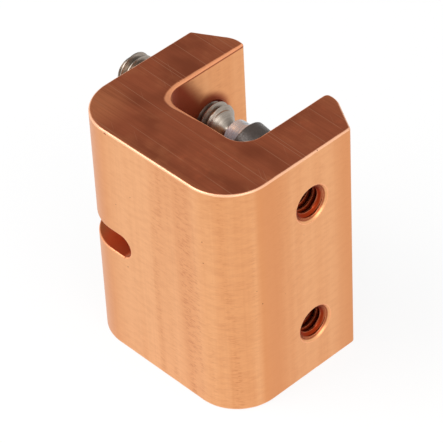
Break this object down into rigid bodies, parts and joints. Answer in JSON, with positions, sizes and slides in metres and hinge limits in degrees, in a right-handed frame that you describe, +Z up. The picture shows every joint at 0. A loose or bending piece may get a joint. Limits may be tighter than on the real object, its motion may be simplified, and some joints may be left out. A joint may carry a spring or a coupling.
{
  "type": "beam grounding clamp",
  "caption": "C-shaped copper grounding clamp: swivel-foot screws in the slotted arm grip a beam flange against the other arm, which has tapped holes for a lug.",
  "frame": {"origin": "on the bottom sawn face, at the middle of the spine's width and thickness", "axes": "+Z up along the extruded C section, +X from the screw arm to the tapped arm, +Y from the spine to the mouth of the throat"},
  "size_m": [0.0516, 0.0343, 0.0508],
  "materials": {
    "copper": "bare drawn copper with sawn, darkened ends",
    "stainless_steel": "turned stainless steel with rolled threads",
    "bright_steel": "bright turned steel",
    "black_steel": "black oxide steel, slightly oily"
  },
  "bodies": {
    "clamp_body": {"clamp_body": "copper"},
    "upper_collar": {"upper_swivel_collar": "bright_steel"},
    "upper_screw": {"upper_clamp_screw": "stainless_steel"},
    "upper_pad": {"upper_pressure_pad": "black_steel"},
    "lower_collar": {"lower_swivel_collar": "bright_steel"},
    "lower_screw": {"lower_clamp_screw": "stainless_steel"},
    "lower_pad": {"lower_pressure_pad": "black_steel"}
  },
  "joints": [
    {"name": "upper_screw_travel", "type": "slide", "parent": "clamp_body", "child": "upper_collar", "axis": [1, 0, 0], "range_m": [-0.0077, 0.0071]},
    {"name": "upper_screw_turn", "type": "hinge", "parent": "upper_collar", "child": "upper_screw", "pos_m": [-0.02, 0.01815, 0.0386], "axis": [1, 0, 0], "range_deg": [-1970, 1815]},
    {"name": "upper_pad_tilt", "type": "hinge", "parent": "upper_collar", "child": "upper_pad", "pos_m": [-0.0005, 0.01815, 0.0386], "axis": [0, 1, 0], "range_deg": [-24, 0]},
    {"name": "lower_screw_travel", "type": "slide", "parent": "clamp_body", "child": "lower_collar", "axis": [1, 0, 0], "range_m": [-0.0077, 0.0071]},
    {"name": "lower_screw_turn", "type": "hinge", "parent": "lower_collar", "child": "lower_screw", "pos_m": [-0.02, 0.01815, 0.0122], "axis": [1, 0, 0], "range_deg": [-1970, 1815]},
    {"name": "lower_pad_tilt", "type": "hinge", "parent": "lower_collar", "child": "lower_pad", "pos_m": [-0.0005, 0.01815, 0.0122], "axis": [0, 1, 0], "range_deg": [-24, 0]}
  ],
  "couplings": [
    {"joint": "upper_screw_turn", "follows": "upper_screw_travel", "rad_per_m": 4452.7},
    {"joint": "lower_screw_turn", "follows": "lower_screw_travel", "rad_per_m": 4452.7}
  ]
}
